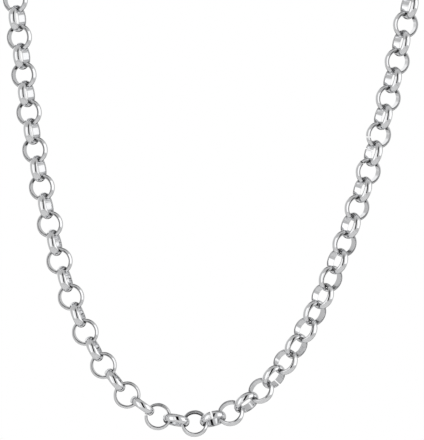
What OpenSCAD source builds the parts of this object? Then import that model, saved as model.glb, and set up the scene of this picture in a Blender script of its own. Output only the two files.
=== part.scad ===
/* [Link] */
// Outside diameter of a link
link_d = 8; // [7:0.1:9]
// Width of the link's band, along the link's axis
band_w = 2.4; // [1.8:0.1:2.6]
// Thickness of the band, from the hole to the crown
band_t = 0.95; // [0.8:0.05:1.1]
// Height of the band's flat sides, below the crown
side_t = 0.3; // [0.3:0.05:0.5]
// Rounding of the band's two inner edges
edge_r = 0.25; // [0.1:0.05:0.25]
// Play lengthwise between two rings that hold each other, before their edges are rounded
play = 0.05; // [0:0.05:0.4]
// Gap where the two ends of a link's band meet
seam_gap = 0.45; // [0.1:0.05:0.5]

/* [Front] */
// Bend radius at the lowest point of the front, which hangs as a catenary
front_bend = 22.6; // [20:0.1:30]
// Lean of the front out of plumb, towards the right, in degrees
front_lean = 3.4; // [-5:0.1:5]
// Length of the left strand that hangs free, from the lowest point
left_run = 154; // [120:1:180]
// Length of the right strand that hangs free, from the lowest point
right_run = 161; // [120:1:180]
// Distance of the lowest point to the left of the nape
front_shift = 7.6; // [0:0.1:15]

/* [Neck] */
// Depth of the neck hollow, from the nape to the front
neck_depth = 98; // [80:1:130]
// Height of the nape over the lowest point
nape_height = 185; // [175:1:195]
// How far each strand keeps its own direction before it bends back
strand_reach = 51; // [42:1:60]
// How far the loop keeps its straight way at each side of the nape
nape_reach = 54; // [40:1:65]
// How far the clasp sits from the middle of the nape, along the chain
clasp_place = 1; // [-10:0.1:10]

/* [Clasp] */
// Thickness of the claw's round bar
claw_bar = 2.1; // [1.8:0.1:2.3]
// Inside width of the claw
claw_w = 3.8; // [3.4:0.1:4.4]
// Length of the claw's straight sides
claw_side = 4; // [2:0.5:8]
// Thickness of the eye's wire
eye_wire = 1.5; // [1.2:0.1:1.8]
// Inside diameter of the eye
eye_d = 3.8; // [3.4:0.1:4.4]
// Length of the stem between claw and eye
stem_l = 1; // [0.5:0.1:2]
// Gap between the clasp and the links that it holds
hook_play = 0.6; // [0.5:0.05:1]

/* [Hidden] */
$fn = 48;

// Twist of the even links over the front: share of the free-hanging length, degrees out of the picture
TWIST = [
    [0.00, 25],
    [0.10, 22],
    [0.18, 20],
    [0.25, 13],
    [0.32, 10],
    [0.39, 6],
    [0.44, -3],
    [0.50, -19],
    [0.53, -27],
    [0.60, -41],
    [0.67, -50],
    [0.74, -61],
    [0.78, -65],
    [1.00, -68]
];
// Seams that show: link, counted from the clasp down the left, and degrees round it from the chain's way
SEAMS = [
    [50, -164],
    [53, 90],
    [57, -102],
    [69, 57],
    [70, 76],
    [71, 114]
];
// Where every other seam sits, under the band of the link before
HIDDEN_SEAM = 165;

// Link
link_r = link_d / 2;
hole_r = link_r - band_t;
crown_h = band_t - side_t;
crown_r = (pow(band_w / 2, 2) + pow(crown_h, 2)) / (2 * crown_h);
edge_path_r = hole_r + edge_r;
edge_path_w = band_w / 2 - edge_r;
full_pitch = 2 * sqrt(pow(hole_r, 2) - pow(band_w / 2, 2)) - play;
seam_angle = 2 * asin(seam_gap / 2 / (hole_r + band_t / 2));

// Clasp: the claw holds the last link of the right strand, the eye the first link of the left
claw_r = claw_w / 2 + claw_bar / 2;
eye_r = eye_d / 2 + eye_wire / 2;
eye_centre = -(claw_side + claw_r + stem_l + eye_r);
claw_hold = claw_r - claw_bar / 2 + hole_r - hook_play;
eye_hold = -eye_centre + eye_r - eye_wire / 2 + hole_r - hook_play;
clasp_span = claw_hold + eye_hold;

// Front: points and direction at a length along the catenary, negative to the left
front_y = -neck_depth;
lowest = [-front_shift, front_y, -nape_height];
function lean(u, h) = [u * cos(front_lean) + h * sin(front_lean), 0, h * cos(front_lean) - u * sin(front_lean)];
function asinh(x) = ln(x + sqrt(x * x + 1));
function front_at(s) = lowest + lean(
    front_bend * asinh(s / front_bend),
    sqrt(front_bend * front_bend + s * s) - front_bend
);
function front_way(s) = lean(front_bend, s) / norm([front_bend, s]);

// Behind the strands the loop goes round the neck on one curve at each side
function bend(a, b, c, d, t) =
    a * pow(1 - t, 3) + b * 3 * pow(1 - t, 2) * t + c * 3 * (1 - t) * t * t + d * t * t * t;
nape = [0, 0, 0];
left_top = front_at(-left_run);
right_top = front_at(right_run);
left_rise = left_top - front_way(-left_run) * strand_reach;
right_rise = right_top + front_way(right_run) * strand_reach;

// The whole route: nape, left side, front, right side, nape
SIDE_STEPS = 150;
FRONT_STEPS = 300;
free_run = left_run + right_run;
ROUTE = concat(
    [for (i = [0 : SIDE_STEPS - 1])
        bend(nape, [-nape_reach, 0, 0], left_rise, left_top, i / SIDE_STEPS)],
    [for (i = [0 : FRONT_STEPS - 1]) front_at(i / FRONT_STEPS * free_run - left_run)],
    [for (i = [0 : SIDE_STEPS])
        bend(right_top, right_rise, [nape_reach, 0, 0], nape, i / SIDE_STEPS)]
);
LENGTHS = [for (
    i = 0, run = 0;
    i < len(ROUTE);
    i = i + 1, run = i < len(ROUTE) ? run + norm(ROUTE[i] - ROUTE[i - 1]) : run
) run];
loop_length = LENGTHS[len(LENGTHS) - 1];
ALONG = [for (axis = [0 : 2]) [for (i = [0 : len(ROUTE) - 1]) [LENGTHS[i], ROUTE[i][axis]]]];
function round_loop(s) = s - loop_length * floor(s / loop_length);
function route_at(s) = [for (axis = [0 : 2]) lookup(round_loop(s), ALONG[axis])];

// Seats: an even number of links, so that the loop's quarter turn closes at the clasp
chain_length = loop_length - clasp_span;
link_count = 2 * ceil((chain_length / full_pitch + 1) / 2);
pitch = chain_length / (link_count - 1);
first_place = clasp_place + eye_hold;
middle = link_count / 2;
SEATS = [for (k = [-1 : link_count]) route_at(first_place + k * pitch)];
function unit(v) = v / norm(v);
function square_to(v, way) = unit(v - (v * way) * way);
function seat(k) = SEATS[k + 1];
WAYS = [for (k = [0 : link_count - 1]) unit(seat(k + 1) - seat(k - 1))];

// A direction that starts straight out of the front and is carried up both strands without turning
FRONT = [0, -1, 0];
RIGHT_CARRIED = [for (
    k = middle, face = square_to(FRONT, WAYS[middle]);
    k < link_count;
    k = k + 1, face = k < link_count ? square_to(face, WAYS[k]) : face
) face];
LEFT_CARRIED = [for (
    k = middle - 1, face = square_to(FRONT, WAYS[middle - 1]);
    k >= 0;
    k = k - 1, face = k >= 0 ? square_to(face, WAYS[k]) : face
) face];
function carried(k) = k < middle ? LEFT_CARRIED[middle - 1 - k] : RIGHT_CARRIED[k - middle];
function turned(k, degrees) = carried(k) * cos(degrees) + cross(WAYS[k], carried(k)) * sin(degrees);

// Twist: the table over the front, then an even turn to the clasp, whose end links lie level
UP = [0, 0, 1];
function half_turn(degrees) = degrees - 180 * round(degrees / 180);
function level_twist(k) = atan2(UP * cross(WAYS[k], carried(k)), UP * carried(k));
function near_to(target, degrees) = target + half_turn(degrees - target);
first_twist = near_to(TWIST[0][1], level_twist(0));
last_twist = near_to(TWIST[len(TWIST) - 1][1], level_twist(link_count - 1) - 90);
side_length = LENGTHS[SIDE_STEPS];
function place(k) = first_place + k * pitch;
function twist(k) = lookup(place(k), concat(
    [[place(0), first_twist]],
    [for (row = TWIST) [side_length + row[0] * free_run, row[1]]],
    [[place(link_count - 1), last_twist]]
));
function link_axis(k) = turned(k, twist(k) + 90 * (k % 2));

// A ring swings on its neighbours only in its own plane, so it sits where that plane holds both of them
function link_centre(k) =
    let(axis = link_axis(k), midway = (seat(k - 1) + seat(k + 1)) / 2)
    seat(k) + axis * ((midway - seat(k)) * axis);
function seam_at(k) =
    let(row = search(k, SEAMS))
    len(row) > 0 ? SEAMS[row[0]][1] : HIDDEN_SEAM;

module set_in(centre, way, axis) {
    side = cross(axis, way);
    multmatrix([
        [way.x, side.x, axis.x, centre.x],
        [way.y, side.y, axis.y, centre.y],
        [way.z, side.z, axis.z, centre.z],
        [0, 0, 0, 1]
    ])
        children();
}

module band_profile() {
    intersection() {
        translate([link_r - crown_r, 0])
            circle(r = crown_r);
        union() {
            translate([edge_path_r, -band_w / 2])
                square([band_t, band_w]);
            translate([hole_r, -edge_path_w])
                square([band_t, 2 * edge_path_w]);
            for (side = [-1, 1])
                translate([edge_path_r, side * edge_path_w])
                    circle(r = edge_r);
        }
    }
}

module link(seam) {
    rotate([0, 0, seam + seam_angle / 2])
        rotate_extrude(angle = 360 - seam_angle)
            band_profile();
}

module chain(first, last) {
    color("silver")
        for (k = [first : last])
            set_in(link_centre(k), WAYS[k], link_axis(k))
                link(seam_at(k));
}

module chain_left() {
    chain(0, middle - 1);
}

module chain_right() {
    chain(middle, link_count - 1);
}

module ring_bar(path_r, bar_r, angle) {
    rotate_extrude(angle = angle)
        translate([path_r, 0])
            circle(r = bar_r);
}

module claw() {
    for (end = [0, 1])
        translate([-end * claw_side, 0, 0])
            rotate([0, 0, 180 * end - 90])
                ring_bar(claw_r, claw_bar / 2, 180);
    for (side = [-1, 1])
        translate([-claw_side, side * claw_r, 0])
            rotate([0, 90, 0])
                cylinder(r = claw_bar / 2, h = claw_side);
}

module clasp() {
    right_end = seat(link_count - 1);
    left_end = seat(0);
    way = unit(left_end - right_end);
    axis = square_to(cross(way, link_axis(0)), way);
    held = right_end + way * (norm(left_end - right_end) - clasp_span) / 2;
    color("silver")
        set_in(held + way * claw_hold, way, axis)
            rotate([0, 0, 180]) {
                claw();
                translate([eye_centre, 0, 0])
                    ring_bar(eye_r, eye_wire / 2, 360);
                translate([-claw_side - claw_r - stem_l, 0, 0])
                    rotate([0, 90, 0])
                        cylinder(r = eye_wire / 2, h = stem_l);
            }
}

chain_left();
chain_right();
clasp();
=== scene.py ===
"""Looks of a rolo chain necklace: its polished rings, its clasp, and the white studio round them."""

import logging
import math
from dataclasses import dataclass
from enum import Enum
from typing import Any

import bmesh
import bpy
import numpy as np
from mathutils import Matrix, Vector


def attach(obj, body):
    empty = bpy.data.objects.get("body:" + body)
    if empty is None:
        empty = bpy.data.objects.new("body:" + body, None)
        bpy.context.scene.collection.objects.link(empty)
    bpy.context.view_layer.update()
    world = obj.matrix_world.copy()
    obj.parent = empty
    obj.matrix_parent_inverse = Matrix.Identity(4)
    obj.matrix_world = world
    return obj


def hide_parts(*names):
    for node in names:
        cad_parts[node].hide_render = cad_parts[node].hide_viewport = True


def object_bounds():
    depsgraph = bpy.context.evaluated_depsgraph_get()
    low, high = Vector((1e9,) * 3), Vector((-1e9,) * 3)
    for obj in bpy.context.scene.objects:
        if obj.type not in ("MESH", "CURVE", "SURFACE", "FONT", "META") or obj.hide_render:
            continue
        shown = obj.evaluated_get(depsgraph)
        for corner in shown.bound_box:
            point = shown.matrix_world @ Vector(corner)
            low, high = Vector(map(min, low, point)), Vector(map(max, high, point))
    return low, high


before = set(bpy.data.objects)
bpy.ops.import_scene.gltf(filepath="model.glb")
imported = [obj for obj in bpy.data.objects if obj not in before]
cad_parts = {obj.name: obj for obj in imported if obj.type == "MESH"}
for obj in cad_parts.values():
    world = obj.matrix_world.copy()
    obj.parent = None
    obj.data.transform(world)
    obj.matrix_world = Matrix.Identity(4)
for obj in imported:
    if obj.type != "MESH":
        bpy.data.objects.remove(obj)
CAD_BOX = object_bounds()
MM = 0.001
BODY = "root"

log = logging.getLogger("necklace")


class Slot(Enum):
    """Material slots of the record."""

    LINKS = "polished_links"
    CLASP = "polished_clasp"


class Mark(Enum):
    """Attributes that the meshes hand to the materials."""

    BORE = "bore"
    EDGE = "edge"
    TONE = "link_tone"
    GAP = "link_gap"


class Shade:
    """A shader socket that takes part in sums: an expression on it adds its Math nodes."""

    def __init__(self, nodes: "NodeMaker", socket: Any) -> None:
        """Wraps a socket of the tree that nodes works on."""
        self.nodes = nodes
        self.socket = socket

    def _math(self, operation: str, first: Any, second: Any) -> "Shade":
        """Adds one Math node."""
        return self.nodes.add("ShaderNodeMath", {"operation": operation}, {0: first, 1: second})

    def __add__(self, other: Any) -> "Shade":
        """Sum."""
        return self._math("ADD", self, other)

    __radd__ = __add__

    def __sub__(self, other: Any) -> "Shade":
        """Difference."""
        return self._math("SUBTRACT", self, other)

    def __rsub__(self, other: Any) -> "Shade":
        """Difference, with the plain number first."""
        return self._math("SUBTRACT", other, self)

    def __mul__(self, other: Any) -> "Shade":
        """Product."""
        return self._math("MULTIPLY", self, other)

    __rmul__ = __mul__

    def least(self, other: Any) -> "Shade":
        """The lower of two values."""
        return self._math("MINIMUM", self, other)

    def most(self, other: Any) -> "Shade":
        """The higher of two values."""
        return self._math("MAXIMUM", self, other)


class NodeMaker:
    """Adds nodes to one tree."""

    def __init__(self, tree: bpy.types.NodeTree) -> None:
        """Starts on an existing tree."""
        self.tree = tree

    def add(
        self,
        kind: str,
        settings: dict[str, Any] | None = None,
        inputs: dict[Any, Any] | None = None,
        output: Any = 0,
    ) -> Shade:
        """Adds a node, makes its settings, then sets or links its sockets.

        Args:
            kind: The node's type name.
            settings: The node's own properties, set before its sockets.
            inputs: Values or wrapped sockets, by the input's name or number.
            output: Name or number of the output to give back.

        Returns:
            The wrapped output.
        """
        node = self.tree.nodes.new(kind)
        for name, value in (settings or {}).items():
            setattr(node, name, value)
        for name, value in (inputs or {}).items():
            if isinstance(value, Shade):
                self.tree.links.new(value.socket, node.inputs[name])
            else:
                node.inputs[name].default_value = value
        return Shade(self, node.outputs[output]) if len(node.outputs) else Shade(self, None)

    def smooth_step(self, value: Shade, start: float, end: float, low: float, high: float) -> Shade:
        """Runs from low to high while value goes from start to end.

        Args:
            value: What is measured.
            start: Value at which the change begins.
            end: Value at which it is complete.
            low: Result up to start.
            high: Result from end on.

        Returns:
            The wrapped result.
        """
        sockets = {"Value": value, "From Min": start, "From Max": end, "To Min": low, "To Max": high}
        return self.add("ShaderNodeMapRange", {"interpolation_type": "SMOOTHSTEP"}, sockets, "Result")


@dataclass(frozen=True)
class PolishedSteel:
    """A bright steel finish: mirror polish with a faint haze and ripple.

    The bores are duller, the edges carry a painted dark outline, and bores and edges carry painted contact
    shadow with grime, darkest where a neighbour ring passes.
    """

    slot: Slot
    colour: tuple[float, float, float] = (0.90, 0.905, 0.915)
    worn_colour: tuple[float, float, float] = (0.76, 0.765, 0.78)
    # Painted contact shadow with grime: near-black colour for bores and edges where a neighbour ring
    # passes, and the distances over which it fades.
    contact_shade_and_grime_colour: tuple[float, float, float] = (0.06, 0.06, 0.065)
    # Painted shade: dark outline colour for the edges, and how far it covers them.
    edge_shade_colour: tuple[float, float, float] = (0.12, 0.12, 0.125)
    edge_shade_share: float = 0.85
    contact_shade_and_grime_near: float = 0.16 * MM
    contact_shade_and_grime_far: float = 0.95 * MM
    polish: float = 0.02
    dull_haze: float = 0.02
    bore_haze: float = 0.05
    edge_haze: float = 0.06
    tone_haze: float = 0.01
    dull_wear: float = 0.35
    bore_wear: float = 0.3
    tone_wear: float = 0.15
    dull_size: float = 1.6 * MM
    dull_start: float = 0.45
    dull_end: float = 0.75
    scratch_size: float = 0.16 * MM
    scratch_depth: float = 0.0006 * MM
    ripple_size: float = 2.2 * MM
    ripple_depth: float = 0.008 * MM

    def build(self) -> bpy.types.Material:
        """Makes the material.

        Returns:
            The material, ready for a piece.
        """
        metal = bpy.data.materials.new(self.slot.value)
        metal.use_nodes = True
        metal.node_tree.nodes.clear()
        nodes = NodeMaker(metal.node_tree)
        place = nodes.add("ShaderNodeTexCoord", output="Object")
        bore, edge, tone, gap = (
            nodes.add("ShaderNodeAttribute", {"attribute_name": mark.value}, output="Fac")
            for mark in (Mark.BORE, Mark.EDGE, Mark.TONE, Mark.GAP)
        )
        dulled = self._noise(nodes, place, self.dull_size, 3.0)
        dulled = nodes.smooth_step(dulled, self.dull_start, self.dull_end, 0.0, 1.0)
        roughness = self.polish + dulled * self.dull_haze + bore * self.bore_haze
        roughness = roughness + edge * self.edge_haze + tone * self.tone_haze
        wear = (dulled * self.dull_wear + bore * self.bore_wear + tone * self.tone_wear).least(1.0)
        # Painted contact shadow with grime: bores and edges go dark near a neighbouring ring.
        contact_shade_and_grime = nodes.smooth_step(gap, self.contact_shade_and_grime_near, self.contact_shade_and_grime_far, 1.0, 0.0) * (bore + edge).least(1.0)
        colour = self._mix(nodes, wear, (*self.colour, 1.0), self.worn_colour)
        # Painted shade: darkens the edges into a dark outline.
        colour = self._mix(nodes, edge * self.edge_shade_share, colour, self.edge_shade_colour)
        # Lays the painted contact shadow and grime over the colour.
        colour = self._mix(nodes, contact_shade_and_grime, colour, self.contact_shade_and_grime_colour)
        ripple = self._noise(nodes, place, self.ripple_size, 1.0)
        scratch = self._noise(nodes, place, self.scratch_size, 4.0)
        relief = ripple * self.ripple_depth + scratch * self.scratch_depth
        sockets = {"Strength": 1.0, "Distance": 1.0, "Height": relief}
        bump = nodes.add("ShaderNodeBump", None, sockets, "Normal")
        sockets = {"Base Color": colour, "Metallic": 1.0, "Roughness": roughness, "Normal": bump}
        shader = nodes.add("ShaderNodeBsdfPrincipled", None, sockets, "BSDF")
        nodes.add("ShaderNodeOutputMaterial", None, {"Surface": shader})
        return metal

    @staticmethod
    def _mix(nodes: NodeMaker, share: Shade, under: Any, over: tuple[float, float, float]) -> Shade:
        """Lays a colour over another.

        Args:
            nodes: Where the node goes.
            share: How far the upper colour covers.
            under: The lower colour, as a wrapped socket or with its alpha.
            over: The upper colour.

        Returns:
            The wrapped colour.
        """
        sockets = {0: share, 6: under, 7: (*over, 1.0)}
        return nodes.add("ShaderNodeMix", {"data_type": "RGBA"}, sockets, 2)

    @staticmethod
    def _noise(nodes: NodeMaker, place: Shade, size: float, detail: float) -> Shade:
        """Noise whose grains are about size across.

        Args:
            nodes: Where the node goes.
            place: Coordinates in metres.
            size: Width of a grain in metres.
            detail: Number of finer layers.

        Returns:
            The wrapped value, about 0 to 1.
        """
        sockets = {"Vector": place, "Scale": 1.0 / size, "Detail": detail}
        return nodes.add("ShaderNodeTexNoise", {"normalize": True}, sockets, "Fac")


@dataclass(frozen=True)
class RingSize:
    """Sizes of one ring, in metres: a band of D section bent round and cut through once."""

    outer: float
    hole: float
    width: float
    side: float = 0.3 * MM
    inner_edge: float = 0.25 * MM
    seam_gap: float = 0.45 * MM
    steps: int = 52
    crown_steps: int = 12
    edge_steps: int = 4
    bore_margin: float = 0.07 * MM
    seam_bevel: float = 0.06 * MM
    corner_share: float = 0.6

    def section(self) -> list[tuple[float, float, float, float]]:
        """The band's outline, counted round from one end of the crown.

        Returns:
            Points as distance from the ring's axis, height along it, share of the bore's duller finish, and
            share of the edges' haze and painted dark outline.
        """
        half = self.width / 2
        rise = self.outer - self.hole - self.side
        radius = (half * half + rise * rise) / (2 * rise)
        spread = math.asin(half / radius)
        crown_centre = self.outer - radius
        points = []
        for step in range(self.crown_steps + 1):
            angle = spread * (2 * step / self.crown_steps - 1)
            rim = self.corner_share if step in (0, self.crown_steps) else 0.0
            points.append((crown_centre + radius * math.cos(angle), radius * math.sin(angle), 0.0, rim))
        edge_centre = self.hole + self.inner_edge
        for step in range(self.edge_steps + 1):
            angle = math.pi / 2 * (1 + step / self.edge_steps)
            out = edge_centre + self.inner_edge * math.cos(angle)
            height = half - self.inner_edge + self.inner_edge * math.sin(angle)
            points.append((out, height, step / self.edge_steps, 1 - step / self.edge_steps))
        flat = half - self.inner_edge - self.bore_margin
        points += [(self.hole, height, 1.0, 0.0) for height in (flat, 0.0, -flat)]
        far_edge = points[self.crown_steps + 1:self.crown_steps + self.edge_steps + 2]
        points += [(out, -height, bore, rim) for out, height, bore, rim in reversed(far_edge)]
        return points

    def mesh(self) -> bpy.types.Mesh:
        """Makes the ring round +Z, with its seam towards +X.

        Returns:
            A closed mesh, smooth, with the bore's and the edges' share at each point.
        """
        section = self.section()
        middle = (self.outer + self.hole) / 2
        half_gap = self.seam_gap / 2 / middle
        start = half_gap + self.seam_bevel / middle
        sweep = 2 * math.pi - 2 * start
        narrowed = 1 - self.seam_bevel / self.width
        turns = [(start + sweep * i / self.steps, 1.0) for i in range(self.steps + 1)]
        turns = [(half_gap, narrowed)] + turns + [(2 * math.pi - half_gap, narrowed)]
        ring = bmesh.new()
        bore_layer = ring.verts.layers.float.new(Mark.BORE.value)
        edge_layer = ring.verts.layers.float.new(Mark.EDGE.value)
        rows = []
        for angle, size in turns:
            row = []
            for out, height, bore, rim in section:
                radius = middle + (out - middle) * size
                flat = (radius * math.cos(angle), radius * math.sin(angle))
                corner = ring.verts.new((*flat, height * size))
                corner[bore_layer] = bore
                corner[edge_layer] = rim
                row.append(corner)
            rows.append(row)
        count = len(section)
        for here, there in zip(rows, rows[1:]):
            for i in range(count):
                ring.faces.new((here[i], there[i], there[(i + 1) % count], here[(i + 1) % count]))
        caps = [ring.faces.new(list(reversed(rows[0]))), ring.faces.new(rows[-1])]
        bmesh.ops.recalc_face_normals(ring, faces=ring.faces)
        for face in ring.faces:
            face.smooth = face not in caps
        mesh = bpy.data.meshes.new("ring")
        ring.to_mesh(mesh)
        ring.free()
        return mesh


@dataclass(frozen=True)
class RingSeat:
    """Where one ring sits: its centre, the axis that it goes round, and the way to its seam."""

    centre: np.ndarray
    axis: np.ndarray
    seam: np.ndarray


class Solids:
    """The separate solids of one node of the frame, read from its mesh."""

    def __init__(self, node: str) -> None:
        """Reads the node's triangles and sorts them into solids.

        Args:
            node: Name of the node.
        """
        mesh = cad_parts[node].data
        mesh.calc_loop_triangles()
        places = np.zeros(len(mesh.vertices) * 3)
        mesh.vertices.foreach_get("co", places)
        corners = np.zeros(len(mesh.loop_triangles) * 3, np.int64)
        mesh.loop_triangles.foreach_get("vertices", corners)
        grid = np.round(places.reshape(-1, 3) / (MM * 0.001)).astype(np.int64)
        _, first, merged = np.unique(grid, axis=0, return_index=True, return_inverse=True)
        self.points = places.reshape(-1, 3)[first]
        self.triangles = merged.reshape(-1)[corners].reshape(-1, 3)
        self.names = self._join()

    def _join(self) -> np.ndarray:
        """Finds which triangles hang together.

        Returns:
            The lowest point number of its solid, for each triangle.
        """
        lowest = np.arange(len(self.points))
        while True:
            before = lowest.copy()
            shared = lowest[self.triangles].min(axis=1)
            for corner in range(3):
                np.minimum.at(lowest, self.triangles[:, corner], shared)
            lowest = lowest[lowest]
            if np.array_equal(before, lowest):
                return lowest[self.triangles[:, 0]]

    def each(self) -> list[np.ndarray]:
        """The solids.

        Returns:
            One array a solid, of its triangles' corners: triangle, corner, axis.
        """
        return [self.points[self.triangles[self.names == name]] for name in np.unique(self.names)]


@dataclass(frozen=True)
class Lie:
    """How a solid's skin lies: its middle, and its main directions from the thinnest to the longest."""

    middles: np.ndarray
    areas: np.ndarray
    normals: np.ndarray
    heart: np.ndarray
    directions: np.ndarray

    @classmethod
    def of(cls, solid: np.ndarray) -> "Lie":
        """Measures a solid.

        Args:
            solid: Its triangles' corners: triangle, corner, axis.

        Returns:
            How it lies.
        """
        normals = np.cross(solid[:, 1] - solid[:, 0], solid[:, 2] - solid[:, 0])
        areas = np.linalg.norm(normals, axis=1)
        middles = solid.mean(axis=1)
        heart = (middles * areas[:, None]).sum(axis=0) / areas.sum()
        arms = middles - heart
        _, directions = np.linalg.eigh((arms * areas[:, None]).T @ arms)
        return cls(middles, areas, normals / areas[:, None], heart, directions.T)


class Strand:
    """One side of the chain, whose rings are set on the seats that the frame gives."""

    RIM_SHARE = 0.99
    CAP_SHARE = 0.9
    END_RATIO = 1.5

    def __init__(self, name: str, node: str, seed: int) -> None:
        """Reads the seats.

        Args:
            name: Name of the piece.
            node: Node that the piece stands for.
            seed: Seed of what differs from ring to ring.
        """
        self.name = name
        self.node = node
        self.seed = seed
        solids = Solids(node).each()
        self.seats = [self._seat(solid) for solid in solids]
        self.size = self._size(solids[0], self.seats[0])

    @staticmethod
    def _seat(solid: np.ndarray) -> RingSeat:
        """Finds a ring's centre, axis and seam.

        Args:
            solid: The ring's triangles.

        Returns:
            Its seat.
        """
        lie = Lie.of(solid)
        axis, across, along = lie.directions
        corners = solid.reshape(-1, 3) - lie.heart
        height = corners @ axis
        rim = corners[np.abs(height) > np.abs(height).max() * Strand.RIM_SHARE]
        flat = np.column_stack([rim @ across, rim @ along])
        lines = np.column_stack([2 * flat, np.ones(len(flat))])
        fit = np.linalg.lstsq(lines, (flat ** 2).sum(axis=1), rcond=None)[0]
        centre = lie.heart + across * fit[0] + along * fit[1]
        arms = lie.middles - centre
        arms -= np.outer(arms @ axis, axis)
        round_way = np.cross(axis, arms / np.linalg.norm(arms, axis=1)[:, None])
        caps = np.abs((lie.normals * round_way).sum(axis=1)) > Strand.CAP_SHARE
        seam = (arms[caps] * lie.areas[caps, None]).sum(axis=0)
        return RingSeat(centre, axis, seam / np.linalg.norm(seam))

    @staticmethod
    def _size(solid: np.ndarray, seat: RingSeat) -> RingSize:
        """Measures a ring.

        Args:
            solid: The ring's triangles.
            seat: Its seat.

        Returns:
            Its sizes.
        """
        arms = solid.reshape(-1, 3) - seat.centre
        height = arms @ seat.axis
        reach = np.linalg.norm(arms - np.outer(height, seat.axis), axis=1)
        width = 2 * np.abs(height).max()
        return RingSize(outer=float(reach.max()), hole=float(reach.min()), width=float(width))

    def _parities(self) -> list[int]:
        """Counts off the rings along the chain, so that neighbours differ.

        Returns:
            0 or 1 for each seat.
        """
        centres = np.array([seat.centre for seat in self.seats])
        apart = np.linalg.norm(centres[:, None] - centres[None], axis=2)
        parities = [0] * len(centres)
        nearest = np.sort(apart, axis=1)
        here = int(np.argmax(nearest[:, 2] > self.END_RATIO * nearest[:, 1]))
        left = set(range(len(centres)))
        for count in range(len(centres)):
            parities[here] = count % 2
            left.discard(here)
            if left:
                here = min(left, key=lambda i: apart[here][i])
        return parities

    def build(self, tree: bpy.types.NodeTree, metal: bpy.types.Material) -> bpy.types.Object:
        """Makes the piece.

        Args:
            tree: The node tree that sets rings on seats.
            metal: The finish.

        Returns:
            One mesh object that holds every ring of the side.
        """
        ring = bpy.data.objects.new("ring_pattern", self.size.mesh())
        bpy.context.scene.collection.objects.link(ring)
        seats = self._seats_mesh()
        piece = bpy.data.objects.new(self.name, seats)
        bpy.context.scene.collection.objects.link(piece)
        modifier = piece.modifiers.new("Rings", "NODES")
        modifier.node_group = tree
        given = {"Ring": ring, "Ring size": 1.0, "Tone spread": 1.0, "Seed": self.seed, "Metal": metal}
        for item in tree.interface.items_tree:
            if item.name in given:
                modifier[item.identifier] = given[item.name]
        piece.data = settled(piece)
        piece.modifiers.remove(modifier)
        bpy.data.meshes.remove(seats)
        bpy.data.objects.remove(ring)
        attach(piece, BODY)
        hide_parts(self.node)
        return piece

    def _seats_mesh(self) -> bpy.types.Mesh:
        """Puts the seats in a mesh of loose points.

        Returns:
            The mesh, whose points hold each ring's axis, seam and parity.
        """
        mesh = bpy.data.meshes.new(self.name + "_seats")
        mesh.from_pydata([tuple(seat.centre) for seat in self.seats], [], [])
        for name in ("axis", "seam"):
            ways = np.array([getattr(seat, name) for seat in self.seats], np.float32)
            mesh.attributes.new(name, "FLOAT_VECTOR", "POINT").data.foreach_set("vector", ways.reshape(-1))
        mesh.attributes.new("parity", "INT", "POINT").data.foreach_set("value", self._parities())
        return mesh


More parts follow.
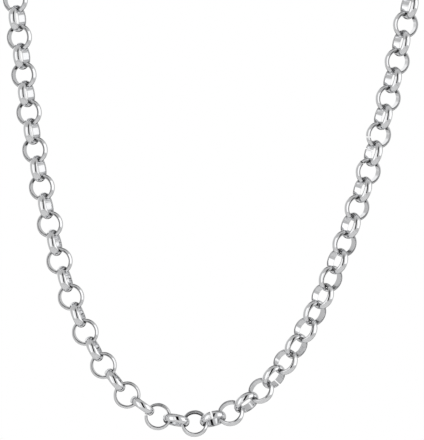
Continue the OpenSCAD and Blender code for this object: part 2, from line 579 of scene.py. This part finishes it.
class RingTree:
    """The node tree that sets one ring on each seat, and notes how near its neighbours pass."""

    INPUTS = (
        ("Seats", "NodeSocketGeometry"),
        ("Ring", "NodeSocketObject"),
        ("Ring size", "NodeSocketFloat"),
        ("Tone spread", "NodeSocketFloat"),
        ("Seed", "NodeSocketInt"),
        ("Metal", "NodeSocketMaterial"),
    )

    def __init__(self) -> None:
        """Builds the tree."""
        self.tree = bpy.data.node_groups.new("RingsOnSeats", "GeometryNodeTree")
        for name, kind in self.INPUTS:
            self.tree.interface.new_socket(name=name, in_out="INPUT", socket_type=kind)
        self.tree.interface.new_socket(name="Rings", in_out="OUTPUT", socket_type="NodeSocketGeometry")
        self.nodes = NodeMaker(self.tree)
        entry = self.tree.nodes.new("NodeGroupInput")
        self.given = {name: Shade(self.nodes, entry.outputs[name]) for name, _ in self.INPUTS}
        parity = self._read("parity", "INT")
        sockets = {"Geometry": self.given["Seats"], "Selection": parity}
        split = self.nodes.add("GeometryNodeSeparateGeometry", {"domain": "POINT"}, sockets)
        even_seats = Shade(self.nodes, split.socket.node.outputs["Inverted"])
        odd, even = self._rings(split), self._rings(even_seats)
        both = self.tree.nodes.new("GeometryNodeJoinGeometry")
        for here, there in ((odd, even), (even, odd)):
            self.tree.links.new(self._note_gap(here, there).socket, both.inputs[0])
        joined = Shade(self.nodes, both.outputs[0])
        sockets = {"Geometry": joined, "Material": self.given["Metal"]}
        metal = self.nodes.add("GeometryNodeSetMaterial", None, sockets)
        self.nodes.add("NodeGroupOutput", None, {"Rings": metal})

    def _read(self, name: str, kind: str) -> Shade:
        """Reads an attribute of the seats."""
        settings = {"data_type": kind}
        return self.nodes.add("GeometryNodeInputNamedAttribute", settings, {"Name": name}, "Attribute")

    def _rings(self, seats: Shade) -> Shade:
        """Sets a ring on each of some seats.

        Args:
            seats: The points.

        Returns:
            The rings as one mesh, each with a tone of its own.
        """
        nodes, given = self.nodes, self.given
        ring = nodes.add(
            "GeometryNodeObjectInfo", {"transform_space": "ORIGINAL"}, {"Object": given["Ring"]}, "Geometry"
        )
        axis, seam = (self._read(name, "FLOAT_VECTOR") for name in ("axis", "seam"))
        turn = nodes.add(
            "FunctionNodeAxesToRotation",
            {"primary_axis": "Z", "secondary_axis": "X"},
            {"Primary Axis": axis, "Secondary Axis": seam},
        )
        rings = nodes.add(
            "GeometryNodeInstanceOnPoints",
            None,
            {"Points": seats, "Instance": ring, "Rotation": turn, "Scale": given["Ring size"]},
        )
        spread = nodes.add(
            "FunctionNodeRandomValue",
            {"data_type": "FLOAT"},
            {"Max": given["Tone spread"], "Seed": given["Seed"]},
            1,
        )
        toned = nodes.add(
            "GeometryNodeStoreNamedAttribute",
            {"data_type": "FLOAT", "domain": "INSTANCE"},
            {"Geometry": rings, "Name": Mark.TONE.value, "Value": spread},
        )
        return nodes.add("GeometryNodeRealizeInstances", None, {"Geometry": toned})

    def _note_gap(self, here: Shade, there: Shade) -> Shade:
        """Stores on one set of rings how far the other set is.

        Args:
            here: Rings that take the note.
            there: The rings between them.

        Returns:
            The rings with their note.
        """
        near = self.nodes.add(
            "GeometryNodeProximity", {"target_element": "FACES"}, {"Geometry": there}, "Distance"
        )
        return self.nodes.add(
            "GeometryNodeStoreNamedAttribute",
            {"data_type": "FLOAT", "domain": "POINT"},
            {"Geometry": here, "Name": Mark.GAP.value, "Value": near},
        )


@dataclass
class Clasp:
    """The claw clasp at the nape, cast in one piece: claw, stem and eye."""

    name: str = "claw_clasp"
    node: str = "clasp"
    claw_bar: float = 2.1 * MM
    claw_gap: float = 3.8 * MM
    eye_wire: float = 1.5 * MM
    eye_gap: float = 3.8 * MM
    stem: float = 1.0 * MM
    nose_slim: float = 0.82
    nose_swell: float = 0.1
    heel_swell: float = 0.06
    stem_flare: float = 1.15
    stem_waist: float = 0.3
    bend_steps: int = 20
    eye_steps: int = 40
    stem_steps: int = 8
    bar_sides: int = 20
    voxel: float = 0.11 * MM
    soft_rounds: int = 6

    def build(self, metal: bpy.types.Material) -> bpy.types.Object:
        """Makes the piece in the node's place.

        Args:
            metal: The finish.

        Returns:
            The mesh object.
        """
        origin, along, across, thin, length = self._place()
        claw_radius = (self.claw_gap + self.claw_bar) / 2
        eye_radius = (self.eye_gap + self.eye_wire) / 2
        side = length - 2 * (claw_radius + eye_radius) - self.stem - (self.claw_bar + self.eye_wire) / 2
        shape = bmesh.new()
        self._tube(shape, self._claw_path(claw_radius, side), True)
        stem_start = side + claw_radius
        eye_centre = stem_start + self.stem + eye_radius
        self._tube(shape, self._eye_path(eye_centre, eye_radius), True)
        stem = self._stem_path(stem_start - self.claw_bar / 4, eye_centre - eye_radius)
        self._tube(shape, stem, False)
        mesh = bpy.data.meshes.new(self.name)
        shape.to_mesh(mesh)
        shape.free()
        turn = Matrix((along, across, thin)).transposed().to_4x4()
        mesh.transform(Matrix.Translation(origin) @ turn)
        piece = bpy.data.objects.new(self.name, mesh)
        bpy.context.scene.collection.objects.link(piece)
        self._melt(piece)
        piece.data.materials.append(metal)
        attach(piece, BODY)
        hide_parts(self.node)
        return piece

    def _place(self) -> tuple[Vector, Vector, Vector, Vector, float]:
        """Reads where the clasp lies.

        Returns:
            The centre of the claw's nose bend, the way to the eye, the way across, the thin way, and
            the length.
        """
        solid = Solids(self.node).each()[0]
        lie = Lie.of(solid)
        thin, across, along = lie.directions
        corners = solid.reshape(-1, 3) - lie.heart
        run = corners @ along
        reach = np.abs(corners @ across)
        if reach[run > 0].max() > reach[run < 0].max():
            along = -along
            run = -run
        across = np.cross(thin, along)
        nose = lie.heart + along * (run.min() + (self.claw_gap / 2 + self.claw_bar))
        return Vector(nose), Vector(along), Vector(across), Vector(thin), float(np.ptp(run))

    def _claw_path(self, radius: float, side: float) -> list[tuple[float, float, float]]:
        """Route of the claw's bar, from the nose's middle round the heel and back.

        Args:
            radius: Bend radius of nose and heel.
            side: Length between the two bends.

        Returns:
            Points as run, reach across, and the bar's radius there.
        """
        bar = self.claw_bar / 2
        path = []
        for step in range(self.bend_steps):
            angle = math.pi / 2 + math.pi * step / self.bend_steps
            thick = bar * (self.nose_slim + self.nose_swell * math.sin(angle))
            path.append((radius * math.cos(angle), radius * math.sin(angle), thick))
        for step in range(self.bend_steps):
            angle = -math.pi / 2 + math.pi * step / self.bend_steps
            thick = bar * (1.0 - self.heel_swell * math.sin(angle))
            path.append((side + radius * math.cos(angle), radius * math.sin(angle), thick))
        return path

    def _eye_path(self, centre: float, radius: float) -> list[tuple[float, float, float]]:
        """Route of the eye's wire.

        Args:
            centre: Where the eye's middle is, along the clasp.
            radius: Bend radius of the wire.

        Returns:
            Points as run, reach across, and the wire's radius.
        """
        turns = [2 * math.pi * step / self.eye_steps for step in range(self.eye_steps)]
        wire = self.eye_wire / 2
        return [(centre + radius * math.cos(a), radius * math.sin(a), wire) for a in turns]

    def _stem_path(self, start: float, end: float) -> list[tuple[float, float, float]]:
        """Route of the stem, waisted in its middle.

        Args:
            start: Where it leaves the claw, along the clasp.
            end: Where it meets the eye.

        Returns:
            Points as run, reach across, and the stem's radius there.
        """
        path = []
        for step in range(self.stem_steps + 1):
            share = step / self.stem_steps
            waist = self.stem_flare - self.stem_waist * math.sin(math.pi * share)
            path.append((start + (end - start) * share, 0.0, self.eye_wire / 2 * waist))
        return path

    def _tube(self, shape: bmesh.types.BMesh, path: list[tuple[float, float, float]], closed: bool) -> None:
        """Sweeps a round bar along a flat path.

        Args:
            shape: Mesh that the bar is added to.
            path: Points as run, reach across, and bar radius.
            closed: Whether the path ends where it starts.
        """
        rows = []
        up = Vector((0, 0, 1))
        last = len(path) - 1
        for i, (run, reach, bar) in enumerate(path):
            before = path[i - 1] if i or closed else path[0]
            after = path[(i + 1) % len(path)] if i < last or closed else path[last]
            way = Vector((after[0] - before[0], after[1] - before[1], 0)).normalized()
            out = Vector((way.y, -way.x, 0))
            turns = [2 * math.pi * side / self.bar_sides for side in range(self.bar_sides)]
            ring = [out * bar * math.cos(turn) + up * bar * math.sin(turn) for turn in turns]
            rows.append([shape.verts.new(Vector((run, reach, 0)) + arm) for arm in ring])
        pairs = list(zip(rows, rows[1:])) + ([(rows[-1], rows[0])] if closed else [])
        for here, there in pairs:
            for i in range(self.bar_sides):
                after = (i + 1) % self.bar_sides
                shape.faces.new((here[i], there[i], there[after], here[after]))
        if not closed:
            shape.faces.new(rows[0])
            shape.faces.new(list(reversed(rows[-1])))
        bmesh.ops.recalc_face_normals(shape, faces=shape.faces)

    def _melt(self, piece: bpy.types.Object) -> None:
        """Joins the bars into one cast skin with soft inner corners.

        Args:
            piece: The object, which ends with no modifiers.
        """
        remesh = piece.modifiers.new("Cast", "REMESH")
        remesh.mode = "VOXEL"
        remesh.voxel_size = self.voxel
        remesh.use_smooth_shade = True
        smooth = piece.modifiers.new("Soften", "SMOOTH")
        smooth.iterations = self.soft_rounds
        made = settled(piece)
        piece.modifiers.clear()
        piece.data = made


@dataclass(frozen=True)
class Panel:
    """One even patch of the room's light, as the necklace sees it."""

    azimuth: float
    elevation: float
    half_wide: float
    half_high: float
    soft: float
    level: float


@dataclass
class Studio:
    """White room, pale floor and camera.

    Angles are in degrees, round from the lens towards the right. The room has a dark slit in front,
    which draws a line down each polished band.
    """

    picture_wide: int = 424
    picture_high: int = 440
    lowest_row: float = 423.66
    middle_column: float = 212.0
    pixel: float = 0.293 * MM
    distance: float = 0.9
    sensor: float = 36.0
    near_clip: float = 0.01
    far_clip: float = 50.0
    lowest_rise: float = 3.8 * MM
    front_depth: float = 4.0 * MM
    floor_drop: float = 0.6
    floor_radius: float = 0.8
    floor_colour: tuple[float, float, float, float] = (0.95, 0.95, 0.95, 1.0)
    floor_roughness: float = 0.9
    floor_glow: float = 0.15
    wall_level: float = 0.57
    top_level: float = 0.52
    top_start: float = 25.0
    top_end: float = 65.0
    panels: tuple[Panel, ...] = (
        Panel(azimuth=-45, elevation=-2, half_wide=18, half_high=34, soft=8, level=1.15),
        Panel(azimuth=-8, elevation=2, half_wide=14, half_high=32, soft=6, level=1.0),
        Panel(azimuth=78, elevation=10, half_wide=30, half_high=28, soft=8, level=1.25),
        Panel(azimuth=180, elevation=54, half_wide=50, half_high=17, soft=10, level=0.10),
        Panel(azimuth=180, elevation=-26, half_wide=34, half_high=13, soft=6, level=0.04),
        Panel(azimuth=-156, elevation=16, half_wide=24, half_high=24, soft=8, level=1.0),
    )
    slit_side: float = 0.16
    slit_half: float = 0.2
    slit_soft: float = 0.03
    slit_level: float = 0.0
    slit_foot: tuple[float, float] = (-30.0, -20.0)
    slit_head: tuple[float, float] = (45.0, 75.0)
    slit_depth: tuple[float, float] = (0.4, 0.6)

    def build(self) -> None:
        """Makes the floor, the light and the camera."""
        self._floor()
        self._room()
        self._camera()

    def _floor(self) -> None:
        """Lays a round pale floor below the necklace."""
        disc = bmesh.new()
        bmesh.ops.create_circle(disc, cap_ends=True, radius=self.floor_radius, segments=128)
        mesh = bpy.data.meshes.new("floor")
        disc.to_mesh(mesh)
        disc.free()
        floor = bpy.data.objects.new("floor", mesh)
        floor.location.z = CAD_BOX[0][2] - self.floor_drop
        bpy.context.scene.collection.objects.link(floor)
        paper = bpy.data.materials.new("floor_paper")
        paper.use_nodes = True
        paper.node_tree.nodes.clear()
        nodes = NodeMaker(paper.node_tree)
        sockets = {
            "Base Color": self.floor_colour,
            "Roughness": self.floor_roughness,
            "Emission Color": self.floor_colour,
            "Emission Strength": self.floor_glow,
        }
        shader = nodes.add("ShaderNodeBsdfPrincipled", None, sockets, "BSDF")
        nodes.add("ShaderNodeOutputMaterial", None, {"Surface": shader})
        mesh.materials.append(paper)

    def _room(self) -> None:
        """Lights the necklace from the room's walls, with each panel laid over what is there."""
        scene = bpy.context.scene
        scene.world = bpy.data.worlds.new("studio")
        scene.world.use_nodes = True
        scene.world.node_tree.nodes.clear()
        nodes = NodeMaker(scene.world.node_tree)
        way = nodes.add("ShaderNodeTexCoord", output="Generated")
        axes = nodes.add("ShaderNodeSeparateXYZ", None, {0: way}).socket.node.outputs
        side, depth, up = (Shade(nodes, axes[name]) for name in ("X", "Y", "Z"))
        degrees = 180 / math.pi
        sockets = {0: side, 1: depth * -1.0}
        azimuth = nodes.add("ShaderNodeMath", {"operation": "ARCTAN2"}, sockets) * degrees
        elevation = nodes.add("ShaderNodeMath", {"operation": "ARCSINE"}, {0: up}) * degrees
        light = nodes.smooth_step(elevation, self.top_start, self.top_end, self.wall_level, self.top_level)
        for panel in self.panels:
            light = light + (panel.level - light) * self._cover(nodes, panel, azimuth, elevation)
        slit = self._band(nodes, side - self.slit_side, self.slit_half, self.slit_soft)
        slit = slit * nodes.smooth_step(elevation, *self.slit_foot, 0.0, 1.0)
        slit = slit * nodes.smooth_step(elevation, *self.slit_head, 1.0, 0.0)
        slit = slit * nodes.smooth_step(depth, *self.slit_depth, 1.0, 0.0)
        light = light + (self.slit_level - light) * slit
        seen = nodes.add("ShaderNodeLightPath", output="Is Camera Ray")
        sockets = {"Color": (1.0, 1.0, 1.0, 1.0), "Strength": light.most(seen)}
        background = nodes.add("ShaderNodeBackground", None, sockets)
        nodes.add("ShaderNodeOutputWorld", None, {"Surface": background})
        scene.view_settings.view_transform = "Standard"

    @staticmethod
    def _band(nodes: NodeMaker, value: Shade, half: float, soft: float) -> Shade:
        """Marks where a value is near 0.

        Args:
            nodes: Where the nodes go.
            value: What is measured.
            half: Half the band's width.
            soft: How far its edge fades, to each side.

        Returns:
            The wrapped share, from 0 to 1.
        """
        away = nodes.add("ShaderNodeMath", {"operation": "ABSOLUTE"}, {0: value})
        return nodes.smooth_step(away, half - soft, half + soft, 1.0, 0.0)

    def _cover(self, nodes: NodeMaker, panel: Panel, azimuth: Shade, elevation: Shade) -> Shade:
        """How far a panel covers each direction.

        Args:
            nodes: Where the nodes go.
            panel: The panel.
            azimuth: Direction round the necklace.
            elevation: Direction up.

        Returns:
            The wrapped share, from 0 to 1.
        """
        sockets = {0: azimuth - panel.azimuth, 1: 180.0, 2: -180.0}
        turned = nodes.add("ShaderNodeMath", {"operation": "WRAP"}, sockets)
        across = self._band(nodes, turned, panel.half_wide, panel.soft / 2)
        return across * self._band(nodes, elevation - panel.elevation, panel.half_high, panel.soft / 2)

    def _camera(self) -> None:
        """Sets the camera level, straight in front of the picture's middle, with a long lens."""
        lowest_z = CAD_BOX[0][2] + self.lowest_rise
        front_y = CAD_BOX[0][1] + self.front_depth
        lens = bpy.data.cameras.new("camera")
        camera = bpy.data.objects.new("camera", lens)
        bpy.context.scene.collection.objects.link(camera)
        rise = (self.lowest_row - self.picture_high / 2) * self.pixel
        across = (self.picture_wide / 2 - self.middle_column) * self.pixel
        camera.location = (across, front_y - self.distance, lowest_z + rise)
        camera.rotation_euler = (math.pi / 2, 0.0, 0.0)
        lens.sensor_width = self.sensor
        lens.lens = self.sensor * self.distance / (self.picture_high * self.pixel)
        lens.clip_start = self.near_clip
        lens.clip_end = self.far_clip
        bpy.context.scene.camera = camera


def main() -> None:
    """Builds the necklace and its studio."""
    logging.basicConfig(level=logging.INFO, format="%(message)s")
    tree = RingTree().tree
    links = PolishedSteel(Slot.LINKS).build()
    for strand in (Strand("left_rings", "chain_left", 3), Strand("right_rings", "chain_right", 11)):
        piece = strand.build(tree, links)
        log.info("%s: %d rings, %d triangles", piece.name, len(strand.seats), triangles(piece))
    clasp = Clasp().build(PolishedSteel(Slot.CLASP).build())
    log.info("%s: %d triangles", clasp.name, triangles(clasp))
    Studio().build()


def settled(piece: bpy.types.Object) -> bpy.types.Mesh:
    """Works out a piece's modifiers.

    Args:
        piece: An object with modifiers.

    Returns:
        The finished mesh, with its attributes.
    """
    bpy.context.view_layer.update()
    graph = bpy.context.evaluated_depsgraph_get()
    shown = piece.evaluated_get(graph)
    return bpy.data.meshes.new_from_object(shown, preserve_all_data_layers=True, depsgraph=graph)


def triangles(piece: bpy.types.Object) -> int:
    """Counts the triangles of a piece."""
    piece.data.calc_loop_triangles()
    return len(piece.data.loop_triangles)


if __name__ == "__main__":
    main()
